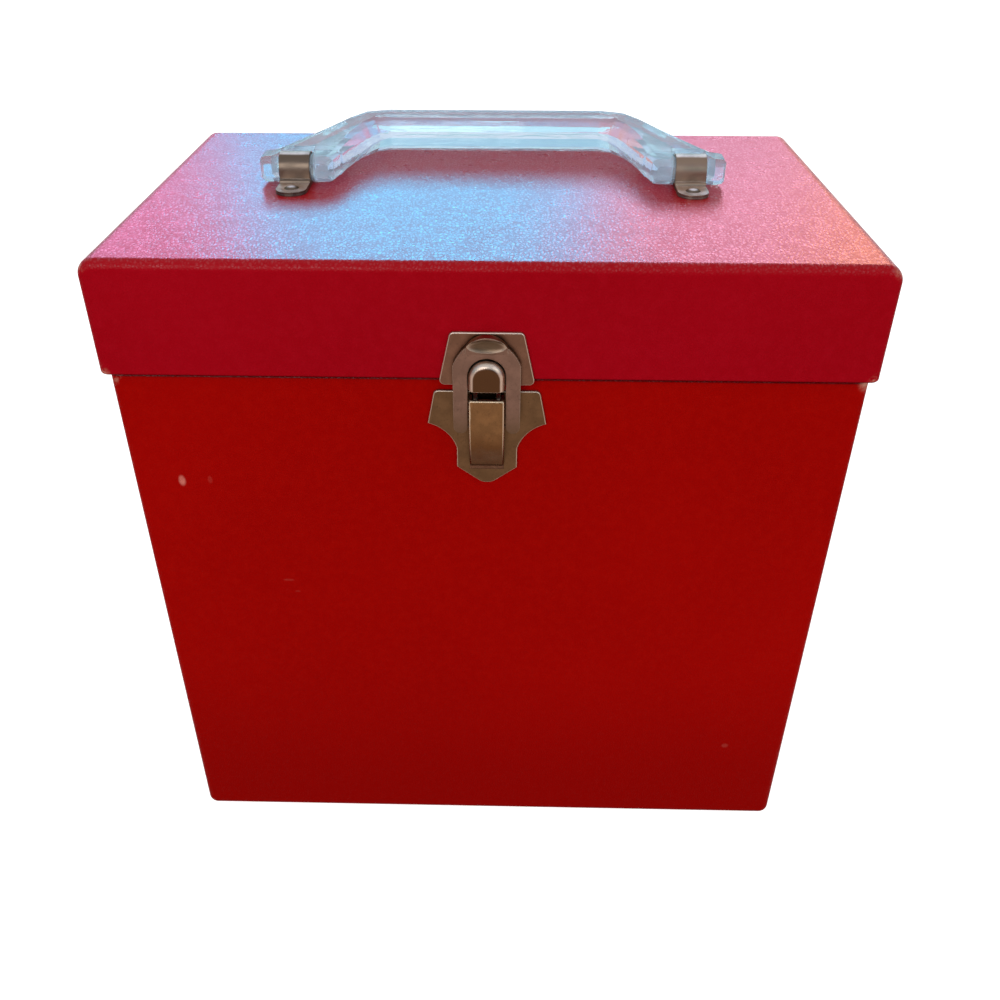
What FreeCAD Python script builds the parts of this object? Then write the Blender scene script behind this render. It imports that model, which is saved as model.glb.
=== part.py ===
import FreeCAD, Part
import math
import os
import re

import Sketcher

# Carrying case for 7-inch records: a covered board box with a lift-up lid, a draw latch,
# two back hinges and a clear folding handle. Millimetres, x to the right, y to the back, z up,
# origin in the middle of the face that the case stands on.

# Driving sizes: name, value, what it measures
SIZES = [
    # Shell
    ("case_width", 203, "width of the body over its cover"),
    ("case_depth", 127, "depth of the body over its cover"),
    ("seam_height", 175, "height of the line where the lid meets the body"),
    ("lid_height", 32, "from the seam to the top of the lid"),
    ("seam_gap", 0.3, "clearance between the rims of body and lid"),
    ("lid_overhang", 1.8, "how far the lid stands out past the body all round"),
    ("board", 2.5, "thickness of the chipboard panels"),
    ("cover", 0.5, "thickness of the leatherette"),
    ("lining", 0.4, "thickness of the paper lining"),
    ("corner_radius", 2.6, "upright corners and front and back outlines, outside"),
    ("lid_side_radius", 4.5, "top edge of the lid along its two sides, outside"),
    ("body_side_radius", 3.2, "bottom edge of the body along its two sides, outside"),
    ("lid_rim_radius", 0.9, "lower outside edge of the lid"),
    ("body_rim_radius", 0.9, "upper outside edge of the body"),
    ("collar", 1.2, "thickness of the collar that locates the lid"),
    ("collar_rise", 15, "how far the collar stands up into the lid"),
    ("collar_drop", 26, "how far the collar reaches down inside the body"),
    ("base_sheet", 0.5, "thickness of the sheet glued under the body"),
    ("base_sheet_margin", 4, "from the outside of the body to the edge of that sheet"),
    ("base_sheet_corner", 3, "rounded corners of that sheet"),
    # Rivets and washers
    ("shank_radius", 1, "radius of the small rivets' shanks"),
    ("rivet_clearance", 0.05, "radial clearance of a rivet in its hole"),
    ("flat_head_radius", 1.8, "head of the rivets under the latch parts"),
    ("flat_head_height", 0.3, "height of those low heads"),
    ("hinge_head_radius", 2.2, "bevelled head of the hinge rivets"),
    ("hinge_head_height", 0.9, "height of those heads"),
    ("clench_radius", 1.7, "closed inner end of a small rivet"),
    ("clench_height", 0.35, "height of that closed end"),
    ("washer_radius", 3, "small washer inside the case"),
    ("washer_thickness", 0.4, "its thickness"),
    ("handle_head_radius", 2.2, "domed head of the handle's rivets"),
    ("handle_head_height", 0.8, "height of those heads"),
    ("handle_shank_radius", 1.2, "radius of their shanks"),
    ("handle_washer_radius", 5, "large washer under the lid's top"),
    ("handle_washer_thickness", 0.8, "its thickness"),
    ("handle_clench_radius", 2.1, "closed inner end of a handle rivet"),
    ("handle_clench_height", 0.7, "height of that closed end"),
    # Hinges
    ("hinge_offset", 58, "from the middle of the case to the middle of a hinge"),
    ("hinge_width", 32, "length of a hinge along its pin"),
    ("hinge_leaf", 0.9, "thickness of a leaf"),
    ("hinge_leaf_height", 17, "from the pin's axis to the end of a leaf"),
    ("hinge_pin_radius", 1.05, "radius of the pin"),
    ("running_clearance", 0.05, "radial clearance of a pin in the piece that turns on it"),
    ("hinge_middle_knuckle", 12, "length of the lid leaf's knuckle"),
    ("knuckle_gap", 0.25, "gap between neighbouring knuckles"),
    ("hinge_corner_radius", 3, "rounded outer corners of a leaf"),
    ("hinge_rivet_spread", 9.5, "from a hinge's middle to each of its rivets"),
    ("hinge_rivet_level", 11.5, "from the pin's axis to the rivets"),
    ("hinge_pin_head_radius", 1.7, "radius of the pin's heads"),
    ("hinge_pin_head", 0.8, "length of a pin's head"),
    ("joggle_start", 5.6, "where the body leaf starts to step out to its knuckle"),
    ("joggle_end", 3.2, "where that step ends"),
    # Latch: strike plate and hood on the lid
    ("plate", 1, "thickness of the latch's two plates"),
    ("plate_edge_radius", 0.45, "softened front edge of the plates"),
    ("strike_top", 14.2, "top of the strike plate above the seam"),
    ("strike_drop", 0.8, "how far it hangs below the seam"),
    ("strike_top_half", 9.6, "half its width at the top"),
    ("strike_low_half", 12.9, "half its width at the bottom"),
    ("strike_corner_radius", 1.4, "its rounded corners"),
    ("hood_half", 4.75, "half the width of the formed hood"),
    ("hood_top", 7.3, "top of the hood above the seam"),
    ("hood_rise", 4.2, "how far the hood stands out from its plate"),
    ("hood_wall", 0.9, "thickness of its metal"),
    ("hood_round", 2, "rounding of its front edge"),
    ("strike_rivet_half", 6.9, "from the middle to each strike rivet"),
    ("strike_rivet_level", 3.6, "height of the strike rivets above the seam"),
    # Latch: base plate on the body
    ("base_top", 3.4, "top edge of the base plate below the seam"),
    ("base_top_half", 14.2, "half its width at the top"),
    ("base_wide_half", 16.2, "half its width at the widest"),
    ("base_wide", 13.5, "where it is widest, below the seam"),
    ("base_neck_half", 8.4, "half the width of its neck"),
    ("base_neck", 21.2, "start of the neck below the seam"),
    ("base_neck_end", 27.3, "end of the neck below the seam"),
    ("base_apex", 33.4, "tip of the plate below the seam"),
    ("base_apex_radius", 4.2, "rounding of the tip"),
    ("base_flank_radius", 11, "hollow curve from the widest place to the neck"),
    ("base_corner_radius", 1.5, "its rounded upper corners"),
    ("base_rivet_half", 6.9, "from the middle to the upper rivets of the base plate"),
    ("base_rivet_level", 8.3, "upper rivets below the seam"),
    ("base_low_rivet_level", 20.2, "lower rivet below the seam"),
    ("lug_inner_half", 2.6, "from the middle to the inner face of a lug"),
    ("lug", 0.9, "thickness of a lug"),
    ("lug_radius", 1.35, "rounded end of a lug around the pin"),
    # Latch: lever
    ("pivot_out", 4.2, "lever pin's distance from the body's front"),
    ("pivot_drop", 5, "lever pin below the seam"),
    ("lever_pin_radius", 0.7, "radius of the lever pin"),
    ("lever_half", 4.7, "half the lever's width"),
    ("lever_wall", 0.75, "thickness of the lever's metal"),
    ("lever_face", 2.25, "from the lever's pin to its front face"),
    ("lever_back", 2.6, "from the lever's pin back to the edge of its sides"),
    ("lever_top", 1.4, "from the lever's pin up to its end"),
    ("lever_length", 20.7, "from the lever's pin down to the toe"),
    ("lever_toe_in", 1.5, "how far the toe's face lies behind the pin"),
    ("lever_bow_radius", 34, "bow of the lever's front face"),
    ("lever_lip", 0.8, "length of the finger lip below the toe"),
    ("lever_edge_radius", 0.6, "rounded long edges and top edge of the lever"),
    ("lever_shoulder", 1.1, "where the lever's side edge starts to round the pin"),
    # Latch: loop
    ("loop_thickness", 1.3, "thickness of the loop"),
    ("loop_pivot_drop", 7.4, "from the lever pin down to the loop's pins"),
    ("loop_pivot_in", 0.25, "how far the loop's pins lie behind the lever pin"),
    ("loop_half", 8.9, "half the loop's width"),
    ("loop_window_half", 5.05, "half the width of its window"),
    ("loop_window_top", 7.7, "top of the window above the seam"),
    ("loop_shoulder", 5.6, "where the loop's outline turns in, above the seam"),
    ("loop_shoulder_radius", 12, "slight curve from there to the crown"),
    ("loop_crown_half", 5.5, "half its width where the crown starts"),
    ("loop_crown", 10.7, "start of the crown above the seam"),
    ("loop_top", 14, "top of the loop above the seam"),
    ("loop_pin_radius", 0.55, "pins turned in from the ends of the loop's arms"),
    ("loop_pin_reach", 3.5, "from the middle to the inner end of those pins"),
    ("loop_lip", 1.3, "how far the finger lip stands out"),
    ("loop_lip_start", 8.9, "foot of the finger lip above the seam"),
    ("scoop_half", 5.6, "half the width of the finger scoop"),
    ("scoop_rise", 2.4, "half the height of the finger scoop"),
    ("scoop_depth", 1.9, "half the depth of the form that cuts it"),
    ("scoop_level", 11.1, "middle of the finger scoop above the seam"),
    ("scoop_out", 1.35, "from the loop's face out to the scoop's centre"),
    # Handle and its clips
    ("handle_axis_y", 3.4, "from the middle of the lid back to the handle's axis"),
    ("bar_radius", 3.85, "radius of the handle's bars inside the clips"),
    ("strap", 0.55, "thickness of a clip"),
    ("strap_clearance", 0.1, "radial clearance of a bar in its clip"),
    ("strap_width", 9.1, "width of a clip"),
    ("clip_foot", 15.1, "from the handle's axis forward to the tip of a clip's foot"),
    ("clip_layer_gap", 0.1, "gap between the two layers of a clip's foot"),
    ("clip_bend_radius", 1, "bend where a clip's front turns out into its foot"),
    ("clip_tip_radius", 4.2, "rounded tip of the foot"),
    ("clip_rivet", 10.4, "from the handle's axis forward to the rivet"),
    ("handle_tilt_angle", 2.7, "degrees that the handle lies up from the level at rest"),
    ("grip_inner", 33, "from the handle's axis to the inner side of its grip"),
    ("grip_depth", 11.2, "width of the grip in the handle's plane"),
    ("grip_half", 5.8, "half the thickness of the grip"),
    ("handle_half", 69.6, "half the length of the handle"),
    ("clip_inset", 10.5, "from the end of the handle to the middle of a clip"),
    ("shoulder", 35.6, "from the end of the handle to the end of its straight grip"),
    ("arm", 23.4, "length of an end bar"),
    ("bar_half", 3.9, "half the thickness of the end bars"),
    ("slot_clearance", 0.4, "clearance at each side of a clip in the handle's slot"),
    ("slot_depth", 2.7, "depth of that slot behind the bar"),
    # One overrun for every cut
    ("overrun", 1, "how far a cutter passes the face that it cuts"),
]

NAMES = {name for name, number, note in SIZES}

# Two levels or radii closer than this are the same
TOUCH = 1e-4

doc = FreeCAD.newDocument("record_case")
sheet = doc.addObject("Spreadsheet::Sheet", "sizes")
for row, (name, number, note) in enumerate(SIZES, start=1):
    sheet.set(f"A{row}", name)
    sheet.set(f"B{row}", str(number))
    sheet.set(f"C{row}", note)
    sheet.setAlias(f"B{row}", name)
doc.recompute()

# Sizes worked out from the driving ones
HALF_WIDTH = "case_width / 2"
HALF_DEPTH = "case_depth / 2"
LID_TOP = "(seam_height + lid_height)"
LID_FLOOR = "(seam_height + seam_gap)"
LID_HALF_WIDTH = "(case_width / 2 + lid_overhang)"
LID_HALF_DEPTH = "(case_depth / 2 + lid_overhang)"
WALL = "(cover + board)"
COLLAR_FACE = "(cover + board + lining)"
KNUCKLE = "(hinge_pin_radius + running_clearance + hinge_leaf)"
BODY_FLOOR = "base_sheet"
HINGE_Y = f"(case_depth / 2 + lid_overhang + {KNUCKLE})"
STRAP_OUTER = "(bar_radius + strap_clearance + strap)"
LOOP_OUT = "(pivot_out - loop_pivot_in)"
LOOP_DROP = "(pivot_drop + loop_pivot_drop)"
CROWN_RISE = "(loop_top - loop_crown)"
CROWN_RADIUS = f"((loop_crown_half ^ 2 + {CROWN_RISE} ^ 2) / (2 * {CROWN_RISE}))"


def bound(text):
    """The text with every size's name turned into a reference to the sheet."""
    return re.sub(r"[a-z_]+", lambda word: f"sizes.{word[0]}" if word[0] in NAMES else word[0], text)


def value(text):
    return float(sheet.evalExpression(bound(text)))


def bind(thing, **texts):
    for place, text in texts.items():
        thing.setExpression(place.replace("__", "."), bound(text))


# Sketches and features

def new_body(label, x="0", y="0", z="0"):
    body = doc.addObject("PartDesign::Body", label)
    body.Label = label
    bind(body, Placement__Base__x=x, Placement__Base__y=y, Placement__Base__z=z)
    return body


def sketch_on(body, role, level="0"):
    """An empty sketch on one of the body's origin planes, moved along the plane's normal."""
    sketch = body.newObject("Sketcher::SketchObject", f"{body.Label}_sketch")
    plane = [item for item in body.Origin.OriginFeatures if item.Role == role][0]
    sketch.AttachmentSupport = [(plane, "")]
    sketch.MapMode = "FlatFace"
    bind(sketch, AttachmentOffset__Base__z=level)
    return sketch


def hold(sketch, geometry, end, x, y):
    """Bind one point of the sketch to its two coordinates."""
    for kind, text, axis in (("DistanceX", x, -2), ("DistanceY", y, -1)):
        if text == "0":
            sketch.addConstraint(Sketcher.Constraint("PointOnObject", geometry, end, axis))
            continue
        index = sketch.addConstraint(Sketcher.Constraint(kind, -1, 1, geometry, end, value(text)))
        sketch.setExpression(f"Constraints[{index}]", bound(text))


def outline(sketch, path):
    """A closed outline through the points of the path.

    A point is (x, y) at the end of a straight run, (x, y, "left" or "right", radius) at the end
    of a short arc that bulges to that side, or (x, y, "about", cx, cy, turn) at the end of an arc
    about a centre, where the turn is 1 to the left and -1 to the right.
    """
    ends = []
    previous = path[-1]
    for point in path:
        start = FreeCAD.Vector(value(previous[0]), value(previous[1]), 0)
        finish = FreeCAD.Vector(value(point[0]), value(point[1]), 0)
        if len(point) == 2:
            edge = sketch.addGeometry(Part.LineSegment(start, finish), False)
            ends.append((edge, 1, 2))
        else:
            ends.append(add_arc(sketch, start, finish, point))
        previous = point
    for place, (edge, first, last) in enumerate(ends):
        following = ends[(place + 1) % len(ends)]
        sketch.addConstraint(Sketcher.Constraint("Coincident", edge, last, following[0], following[1]))
        hold(sketch, edge, last, path[place][0], path[place][1])


def add_arc(sketch, start, finish, point):
    chord = finish - start
    if point[2] == "about":
        centre = FreeCAD.Vector(value(point[3]), value(point[4]), 0)
        turn = point[5]
    else:
        side = 1 if point[2] == "right" else -1
        radius = value(point[3])
        back = math.sqrt(radius ** 2 - (chord.Length / 2) ** 2)
        across = FreeCAD.Vector(-chord.y, chord.x, 0).normalize()
        centre = (start + finish) * 0.5 + across * (back * side)
        turn = side
    radius = (start - centre).Length
    first, last = (start, finish) if turn > 0 else (finish, start)
    angles = [math.atan2(spot.y - centre.y, spot.x - centre.x) for spot in (first, last)]
    if angles[1] <= angles[0]:
        angles[1] += 2 * math.pi
    circle = Part.Circle(centre, FreeCAD.Vector(0, 0, 1), radius)
    edge = sketch.addGeometry(Part.ArcOfCircle(circle, angles[0], angles[1]), False)
    if point[2] == "about":
        upright = abs(chord.y) > abs(chord.x)
        kind, axis, text = ("DistanceX", -2, point[3]) if upright else ("DistanceY", -1, point[4])
        if text == "0":
            sketch.addConstraint(Sketcher.Constraint("PointOnObject", edge, 3, axis))
        else:
            index = sketch.addConstraint(Sketcher.Constraint(kind, -1, 1, edge, 3, value(text)))
            sketch.setExpression(f"Constraints[{index}]", bound(text))
    else:
        index = sketch.addConstraint(Sketcher.Constraint("Radius", edge, radius))
        sketch.setExpression(f"Constraints[{index}]", bound(point[3]))
    return (edge, 1, 2) if turn > 0 else (edge, 2, 1)


def circle(sketch, x, y, radius):
    ring = Part.Circle(FreeCAD.Vector(value(x), value(y), 0), FreeCAD.Vector(0, 0, 1), value(radius))
    edge = sketch.addGeometry(ring, False)
    hold(sketch, edge, 3, x, y)
    index = sketch.addConstraint(Sketcher.Constraint("Radius", edge, value(radius)))
    sketch.setExpression(f"Constraints[{index}]", bound(radius))


def rectangle(x0, y0, x1, y1):
    return [(x0, y0), (x1, y0), (x1, y1), (x0, y1)]


def both_sides(points):
    """An outline's right half, from bottom to top, followed by its mirror image."""
    def flipped(text):
        return "0" if text == "0" else f"-({text})"

    return points + [(flipped(x), y) for x, y in reversed(points)]


def pad(body, sketch, length, symmetric=False, backwards=False):
    feature = body.newObject("PartDesign::Pad", f"{body.Label}_pad")
    feature.Profile = sketch
    bind(feature, Length=length)
    feature.Midplane = symmetric
    feature.Reversed = backwards
    sketch.Visibility = False
    doc.recompute()
    return feature


def pocket(body, sketch, depth, symmetric=False, backwards=False):
    """A cut that has to take something away."""
    before = body.Shape.Volume
    feature = body.newObject("PartDesign::Pocket", f"{body.Label}_pocket")
    feature.Profile = sketch
    bind(feature, Length=depth)
    feature.Midplane = symmetric
    feature.Reversed = backwards
    sketch.Visibility = False
    doc.recompute()
    if not body.Shape.Volume < before:
        raise ValueError(f"{body.Label}: a pocket cut nothing")
    return feature


def edges_where(shape, test):
    return [f"Edge{place}" for place, edge in enumerate(shape.Edges, start=1) if test(edge)]


def level_with(axis, text):
    """A test for edges that lie in one plane square to an axis."""
    target = value(text)

    def test(edge):
        box = edge.BoundBox
        low, high = getattr(box, f"{axis}Min"), getattr(box, f"{axis}Max")
        return abs(low - target) < TOUCH and abs(high - target) < TOUCH

    return test


def along(axis):
    """A test for straight edges that run along an axis."""
    def test(edge):
        if edge.Curve.TypeId != "Part::GeomLine":
            return False
        direction = edge.tangentAt(edge.FirstParameter)
        return abs(abs(getattr(direction, axis)) - 1) < TOUCH

    return test


def round_off(body, radius, *tests):
    """Fillet the edges that pass every test."""
    base = body.Tip
    names = edges_where(base.Shape, lambda edge: all(test(edge) for test in tests))
    if not names:
        raise ValueError(f"{body.Label}: no edge to round")
    fillet = body.newObject("PartDesign::Fillet", f"{body.Label}_fillet")
    fillet.Base = (base, names)
    bind(fillet, Radius=radius)
    doc.recompute()
    return fillet


# Plain solids and booleans

def block(label, x0, y0, z0, x1, y1, z1):
    box = doc.addObject("Part::Box", label)
    box.Label = label
    bind(box, Length=f"({x1}) - ({x0})", Width=f"({y1}) - ({y0})", Height=f"({z1}) - ({z0})")
    bind(box, Placement__Base__x=x0, Placement__Base__y=y0, Placement__Base__z=z0)
    return box


def centred_block(label, half_x, half_y, z0, z1):
    return block(label, f"-({half_x})", f"-({half_y})", z0, half_x, half_y, z1)


def rod(label, axis, x, y, z, radius, length):
    """A cylinder from a point along +y or +z."""
    cylinder = doc.addObject("Part::Cylinder", label)
    bind(cylinder, Radius=radius, Height=length)
    if axis == "y":
        cylinder.Placement.Rotation = FreeCAD.Rotation(FreeCAD.Vector(1, 0, 0), -90)
    bind(cylinder, Placement__Base__x=x, Placement__Base__y=y, Placement__Base__z=z)
    return cylinder


def cut(label, base, *tools):
    result = base
    for place, tool in enumerate(tools, start=1):
        piece = doc.addObject("Part::Cut", label if place == len(tools) else f"{label}_cut_{place}")
        piece.Base = result
        piece.Tool = tool
        result = piece
    result.Label = label
    return result


def common(label, base, tool):
    piece = doc.addObject("Part::Common", label)
    piece.Label = label
    piece.Base = base
    piece.Tool = tool
    return piece


def fuse(label, *pieces):
    piece = doc.addObject("Part::MultiFuse", label)
    piece.Label = label
    piece.Shapes = list(pieces)
    return piece


def group(label, pieces):
    """Separate solids that share one node."""
    compound = doc.addObject("Part::Compound", label)
    compound.Label = label
    compound.Links = list(pieces)
    return compound


NODES = []


def keep(piece):
    NODES.append(piece)
    return piece


# Shell forms: the rounded outside of body and lid, and the same form one cover thickness in

def rounded_box(label, half_x, half_y, z0, z1, inset, side_radius, rim_radius, rim_at_top):
    """A box whose side edge, front and back outlines and rim are rounded; the rim is open."""
    body = new_body(label)
    sketch = sketch_on(body, "XY_Plane", z0)
    outline(sketch, rectangle(f"-({half_x} - {inset})", f"-({half_y} - {inset})",
                              f"{half_x} - {inset}", f"{half_y} - {inset}"))
    pad(body, sketch, f"({z1}) - ({z0})")
    rim, closed = (z1, z0) if rim_at_top else (z0, z1)
    round_off(body, f"{side_radius} - {inset}", along("y"), level_with("Z", closed))
    at_rim = level_with("Z", rim)
    front = level_with("Y", f"-({half_y} - {inset})")
    back = level_with("Y", f"{half_y} - {inset}")
    round_off(body, f"corner_radius - {inset}", lambda edge: front(edge) or back(edge),
              lambda edge: not at_rim(edge))
    round_off(body, f"{rim_radius} - {inset}", at_rim)
    return body


def boards(prefix, core, half_x, half_y, z0, z1, floor_at_bottom, holes):
    """The panels of a box, each a piece of the rounded core."""
    inner_x = f"{half_x} - {WALL}"
    inner_y = f"{half_y} - {WALL}"
    if floor_at_bottom:
        flat = (z0, f"{z0} + {WALL}")
        upright = (f"{z0} + {WALL}", z1)
        flat_name = "bottom_board"
    else:
        flat = (f"{z1} - {WALL}", z1)
        upright = (z0, f"{z1} - {WALL}")
        flat_name = "top_board"
    regions = {
        flat_name: (f"-({half_x})", f"-({half_y})", flat[0], half_x, half_y, flat[1]),
        "front_board": (f"-({half_x})", f"-({half_y})", upright[0], half_x, f"-({inner_y})", upright[1]),
        "back_board": (f"-({half_x})", inner_y, upright[0], half_x, half_y, upright[1]),
        "left_board": (f"-({half_x})", f"-({inner_y})", upright[0], f"-({inner_x})", inner_y, upright[1]),
        "right_board": (inner_x, f"-({inner_y})", upright[0], half_x, inner_y, upright[1]),
    }
    for name, corners in regions.items():
        region = block(f"{prefix}_{name}_region", *corners)
        if name in holes:
            panel = common(f"{prefix}_{name}_blank", core, region)
            keep(cut(f"{prefix}_{name}", panel, holes[name]))
        else:
            keep(common(f"{prefix}_{name}", core, region))


# Places of the rivets

STRIKE_RIVETS = [(f"{sign}strike_rivet_half", "seam_height + strike_rivet_level") for sign in ("-", "")]
BASE_RIVETS = [("-base_rivet_half", "seam_height - base_rivet_level"),
               ("base_rivet_half", "seam_height - base_rivet_level"),
               ("0", "seam_height - base_low_rivet_level")]
HINGE_COLUMNS = [f"{side}hinge_offset {step} hinge_rivet_spread" for side in ("-", "") for step in ("-", "+")]
BODY_HINGE_RIVETS = [(x, "seam_height - hinge_rivet_level") for x in HINGE_COLUMNS]
LID_HINGE_RIVETS = [(x, "seam_height + hinge_rivet_level") for x in HINGE_COLUMNS]
CLIP_OFFSET = "(handle_half - clip_inset)"
CLIP_X = [f"-{CLIP_OFFSET}", CLIP_OFFSET]
HANDLE_RIVET_Y = "handle_axis_y - clip_rivet"


def wall_drill(label, places, start, finish):
    """Rods along y that make the rivet holes through a wall."""
    rods = [rod(f"{label}_{place}", "y", x, start, z, "shank_radius + rivet_clearance",
                f"({finish}) - ({start})")
            for place, (x, z) in enumerate(places, start=1)]
    return group(label, rods)


FRONT = f"-{LID_HALF_DEPTH} - overrun"
INSIDE_FRONT = f"-{HALF_DEPTH} + {COLLAR_FACE} + collar + overrun"
INSIDE_BACK = f"{HALF_DEPTH} - {COLLAR_FACE} - collar - overrun"
BACK = f"{LID_HALF_DEPTH} + overrun"
strike_drill = wall_drill("strike_drill", STRIKE_RIVETS, FRONT, INSIDE_FRONT)
base_drill = wall_drill("base_drill", BASE_RIVETS, FRONT, INSIDE_FRONT)
body_hinge_drill = wall_drill("body_hinge_drill", BODY_HINGE_RIVETS, INSIDE_BACK, BACK)
lid_hinge_drill = wall_drill("lid_hinge_drill", LID_HINGE_RIVETS, INSIDE_BACK, BACK)
handle_drill = group("handle_drill", [
    rod(f"handle_drill_{side}", "z", x, HANDLE_RIVET_Y, f"{LID_TOP} - {COLLAR_FACE} - overrun",
        "handle_shank_radius + rivet_clearance", f"{COLLAR_FACE} + overrun + overrun")
    for side, x in zip(("left", "right"), CLIP_X)])


# Body shell

body_form = rounded_box("body_form", HALF_WIDTH, HALF_DEPTH, BODY_FLOOR, "seam_height", "0",
                        "body_side_radius", "body_rim_radius", True)
body_core = rounded_box("body_core", HALF_WIDTH, HALF_DEPTH, f"{BODY_FLOOR} + cover",
                        "seam_height - cover", "cover", "body_side_radius", "body_rim_radius", True)
boards("body", body_core, HALF_WIDTH, HALF_DEPTH, BODY_FLOOR, "seam_height", True,
       {"front_board": base_drill, "back_board": body_hinge_drill})
body_mouth = centred_block("body_mouth", f"{HALF_WIDTH} - {WALL}", f"{HALF_DEPTH} - {WALL}",
                           "seam_height - cover - overrun", "seam_height + overrun")
keep(cut("body_cover", body_form, body_core, body_mouth, base_drill, body_hinge_drill))

body_paper = centred_block("body_paper", f"{HALF_WIDTH} - {WALL}", f"{HALF_DEPTH} - {WALL}",
                           f"{BODY_FLOOR} + {WALL}", "seam_height")
body_room = centred_block("body_room", f"{HALF_WIDTH} - {COLLAR_FACE}", f"{HALF_DEPTH} - {COLLAR_FACE}",
                          f"{BODY_FLOOR} + {COLLAR_FACE}", "seam_height + overrun")
keep(cut("body_lining", body_paper, body_room, base_drill, body_hinge_drill))


def make_base_sheet():
    """The plain sheet glued under the body, over the turned-in edges of its cover."""
    plain = new_body("base_sheet")
    sketch = sketch_on(plain, "XY_Plane")
    half_x = f"{HALF_WIDTH} - base_sheet_margin"
    half_y = f"{HALF_DEPTH} - base_sheet_margin"
    outline(sketch, rectangle(f"-({half_x})", f"-({half_y})", half_x, half_y))
    pad(plain, sketch, BODY_FLOOR)
    round_off(plain, "base_sheet_corner", along("z"))
    return keep(plain)


make_base_sheet()


def make_collar():
    """Four strips glued inside the body, standing up into the lid to keep it in line."""
    half_x = f"{HALF_WIDTH} - {COLLAR_FACE}"
    half_y = f"{HALF_DEPTH} - {COLLAR_FACE}"
    low = "seam_height - collar_drop"
    high = "seam_height + collar_rise"
    front = block("front_strip", f"-({half_x})", f"-({half_y})", low, half_x, f"-({half_y} - collar)", high)
    back = block("back_strip", f"-({half_x})", f"{half_y} - collar", low, half_x, half_y, high)
    keep(cut("collar_front_strip", front, base_drill))
    keep(cut("collar_back_strip", back, body_hinge_drill))
    keep(block("collar_left_strip", f"-({half_x})", f"-({half_y} - collar)", low,
               f"-({half_x} - collar)", f"{half_y} - collar", high))
    keep(block("collar_right_strip", f"{half_x} - collar", f"-({half_y} - collar)", low,
               half_x, f"{half_y} - collar", high))


make_collar()


# Lid shell

lid_form = rounded_box("lid_form", LID_HALF_WIDTH, LID_HALF_DEPTH, LID_FLOOR, LID_TOP, "0",
                       "lid_side_radius", "lid_rim_radius", False)
lid_core = rounded_box("lid_core", LID_HALF_WIDTH, LID_HALF_DEPTH, f"{LID_FLOOR} + cover",
                       f"{LID_TOP} - cover", "cover", "lid_side_radius", "lid_rim_radius", False)
boards("lid", lid_core, LID_HALF_WIDTH, LID_HALF_DEPTH, LID_FLOOR, LID_TOP, False,
       {"front_board": strike_drill, "back_board": lid_hinge_drill, "top_board": handle_drill})
lid_mouth = centred_block("lid_mouth", f"{LID_HALF_WIDTH} - {WALL}", f"{LID_HALF_DEPTH} - {WALL}",
                          f"{LID_FLOOR} - overrun", f"{LID_FLOOR} + cover + overrun")
keep(cut("lid_cover", lid_form, lid_core, lid_mouth, strike_drill, lid_hinge_drill, handle_drill))

lid_paper = centred_block("lid_paper", f"{LID_HALF_WIDTH} - {WALL}", f"{LID_HALF_DEPTH} - {WALL}",
                          LID_FLOOR, f"{LID_TOP} - {WALL}")
lid_room = centred_block("lid_room", f"{LID_HALF_WIDTH} - {COLLAR_FACE}",
                         f"{LID_HALF_DEPTH} - {COLLAR_FACE}",
                         f"{LID_FLOOR} - overrun", f"{LID_TOP} - {COLLAR_FACE}")
keep(cut("lid_lining", lid_paper, lid_room, strike_drill, lid_hinge_drill, handle_drill))


# Rivets and washers, turned about their own axis

TURNS = {
    "front": FreeCAD.Rotation(FreeCAD.Vector(1, 0, 0), 90),
    "back": FreeCAD.Rotation(FreeCAD.Vector(1, 0, 0), -90),
    "top": FreeCAD.Rotation(),
}


def turned(label, path, x, y, z, facing):
    """A piece turned about its axis, which points out of the case."""
    body = new_body(label)
    sketch = sketch_on(body, "XZ_Plane")
    outline(sketch, path)
    feature = body.newObject("PartDesign::Revolution", f"{label}_turn")
    feature.Profile = sketch
    feature.ReferenceAxis = (sketch, ["V_Axis"])
    feature.Angle = 360
    body.Placement.Rotation = TURNS[facing]
    bind(body, Placement__Base__x=x, Placement__Base__y=y, Placement__Base__z=z)
    doc.recompute()
    return body


def rivet(label, x, y, z, facing, grip, head_path, shank, clench, clench_height):
    """A head on a plate, a shank through everything, and the closed inner end."""
    path = head_path + [("0", f"-({grip}) - {clench_height}"), (clench, f"-({grip}) - {clench_height}"),
                        (clench, f"-({grip})"), (shank, f"-({grip})"), (shank, "0")]
    return turned(label, path, x, y, z, facing)


def washer(label, x, y, z, facing, radius, hole, thickness):
    """A ring that lies against the inside of the case under a rivet's closed end."""
    path = [(hole, "0"), (radius, "0"), (radius, thickness), (hole, thickness)]
    return turned(label, path, x, y, z, facing)


def wall_rivets(label, places, facing, plate_face, inner_face, head, height):
    """Rivets through a wall, and the washers inside; faces are distances from the middle."""
    sign = "-" if facing == "front" else ""
    washer_face = f"{inner_face} - washer_thickness"
    grip = f"({plate_face}) - ({washer_face})"
    bevelled = [(head, "0"), (f"{head} - {height}", height), ("0", height)]
    rivets = [rivet(f"{label}_rivet_{place}", x, f"{sign}({plate_face})", z, facing, grip,
                    bevelled, "shank_radius", "clench_radius", "clench_height")
              for place, (x, z) in enumerate(places, start=1)]
    washers = [washer(f"{label}_washer_{place}", x, f"{sign}({washer_face})", z, facing,
                      "washer_radius", "shank_radius + rivet_clearance", "washer_thickness")
               for place, (x, z) in enumerate(places, start=1)]
    keep(group(f"{label}_rivets", rivets))
    keep(group(f"{label}_washers", washers))


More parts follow.
